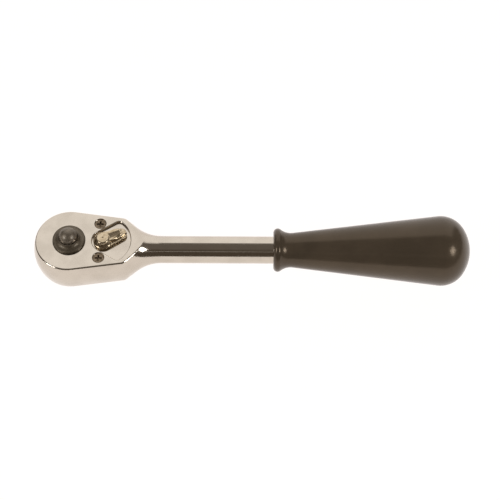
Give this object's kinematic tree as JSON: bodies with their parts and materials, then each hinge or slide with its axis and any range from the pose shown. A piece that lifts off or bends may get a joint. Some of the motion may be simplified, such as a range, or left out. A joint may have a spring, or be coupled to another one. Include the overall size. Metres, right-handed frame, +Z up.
{
  "type": "reversible quick-release ratchet wrench",
  "caption": "Hand ratchet wrench: teardrop steel head with a square drive, release button and reversing lever, a round shank and a tapered moulded grip.",
  "frame": {"origin": "centre of the square drive's end face", "axes": "+Z up the drive axis towards the lever side, +X from the drive axis along the handle"},
  "size_m": [0.1997, 0.0332, 0.035],
  "materials": {
    "plated_steel": "satin nickel-chrome plate on a forging",
    "plated_lever": "bright chrome plate on a casting",
    "black_oxide_steel": "black oxide, oiled",
    "black_screw_steel": "black oxide, dull",
    "hardened_steel": "ground and hardened",
    "spring_wire": "drawn wire",
    "grip_plastic": "glossy moulded plastic",
    "seal_rubber": "matt nitrile"
  },
  "bodies": {
    "frame": {"ratchet_body": "plated_steel", "handle_grip": "grip_plastic", "cover_plate": "plated_steel", "cover_screws": "black_screw_steel", "cover_dowels": "hardened_steel", "gear_thrust_washer": "hardened_steel"},
    "drive": {"drive_gear": "black_oxide_steel", "gear_seal_ring": "seal_rubber", "button_collar": "black_oxide_steel", "button_spring": "spring_wire"},
    "button": {"release_button": "black_oxide_steel", "push_pin": "hardened_steel"},
    "ball": {"detent_ball": "hardened_steel"},
    "lever": {"reverse_lever": "plated_lever", "lever_clip": "spring_wire", "lever_seal_ring": "seal_rubber", "pawl_plunger": "hardened_steel", "plunger_spring": "spring_wire"},
    "pawl": {"pawl": "black_oxide_steel"}
  },
  "joints": [
    {"name": "drive_spin", "type": "hinge", "parent": "frame", "child": "drive", "pos_m": [0, 0, 0.019], "axis": [0, 0, 1], "continuous": true},
    {"name": "button_press", "type": "slide", "parent": "drive", "child": "button", "axis": [0, 0, -1], "range_m": [0, 0.0025], "stiffness_N_per_m": 600, "springref_m": -0.002, "deforming": ["button_spring"]},
    {"name": "ball_retract", "type": "slide", "parent": "drive", "child": "ball", "axis": [0, 1, 0], "range_m": [0, 0.00065]},
    {"name": "lever_turn", "type": "hinge", "parent": "frame", "child": "lever", "pos_m": [0.0155, 0, 0.027], "axis": [0, 0, 1], "range_deg": [-48, 0]},
    {"name": "pawl_rock", "type": "hinge", "parent": "frame", "child": "pawl", "pos_m": [0.0119, 0, 0.0178], "axis": [0, 0, 1], "range_deg": [0, 11]}
  ],
  "couplings": [
    {"joint": "ball_retract", "follows": "button_press", "ratio": 0.26},
    {"joint": "pawl_rock", "follows": "lever_turn", "ratio": -0.22917}
  ]
}
